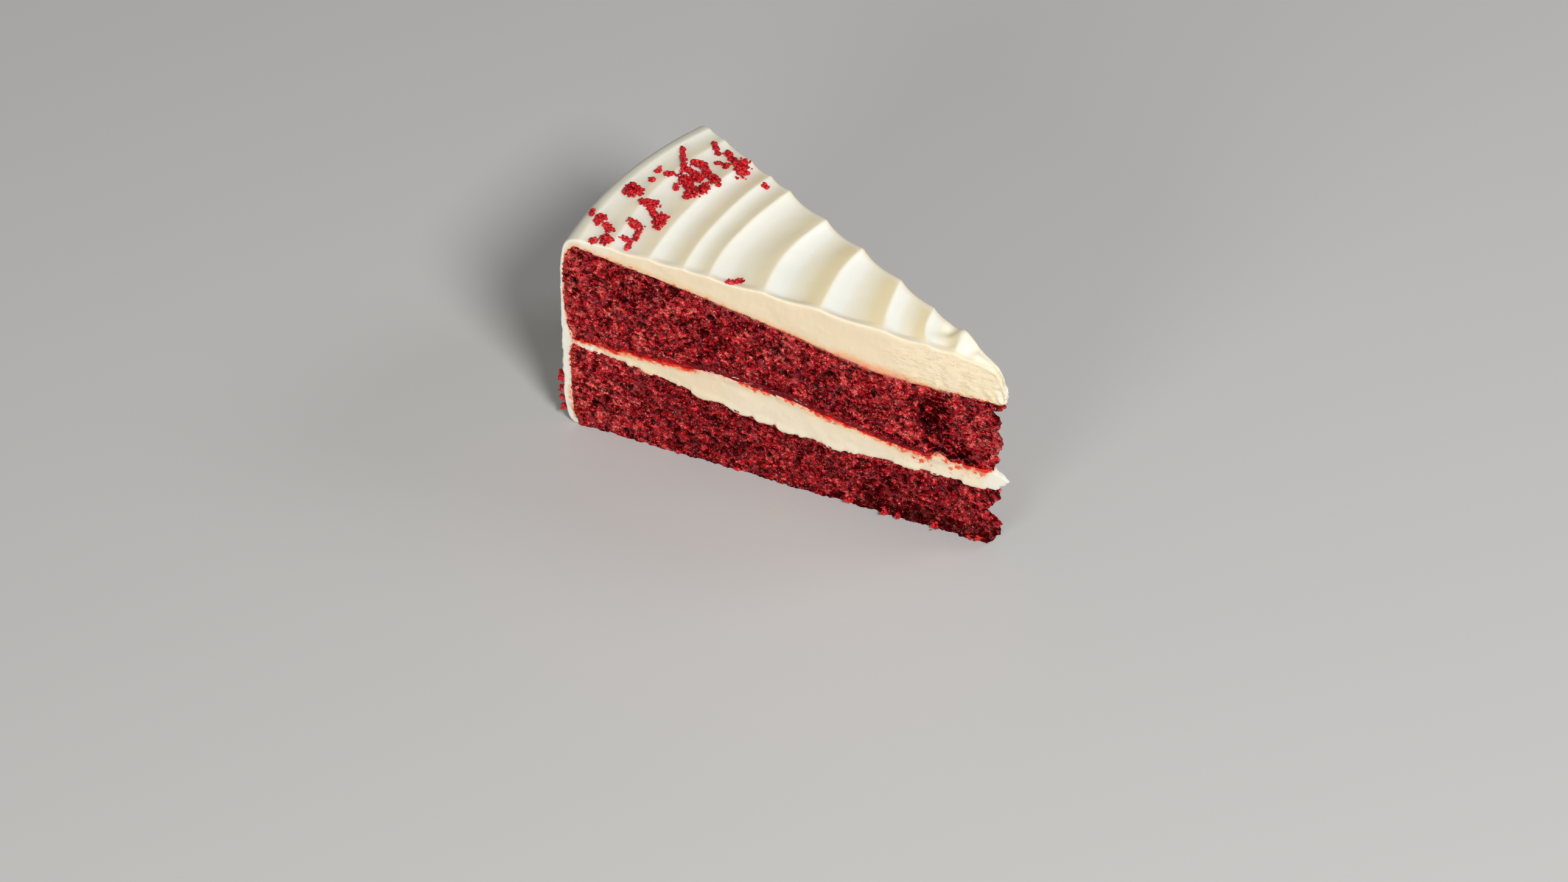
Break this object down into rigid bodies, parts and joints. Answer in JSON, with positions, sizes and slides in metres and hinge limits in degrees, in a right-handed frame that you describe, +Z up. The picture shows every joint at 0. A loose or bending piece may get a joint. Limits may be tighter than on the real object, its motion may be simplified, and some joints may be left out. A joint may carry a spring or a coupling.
{
  "type": "slice of red velvet cake",
  "caption": "Wedge-shaped slice of layered red velvet cake with cream filling, combed cream frosting over the top and down the rim, and red crumbs on top; food to stand on a plate.",
  "frame": {"origin": "middle of the slice's box in plan, on the plane it rests on", "axes": "+X from the rim towards the tip along the middle of the wedge, +Y towards the far cut face, +Z up"},
  "size_m": [0.1444, 0.0674, 0.0818],
  "materials": {
    "sponge": "moist open red crumb with dark pores",
    "cream": "smooth satin cream frosting, warmer on the cut faces"
  },
  "bodies": {
    "root": {"sponge_bottom": "sponge", "cream_filling": "cream", "sponge_top": "sponge", "frosting": "cream"}
  },
  "joints": []
}
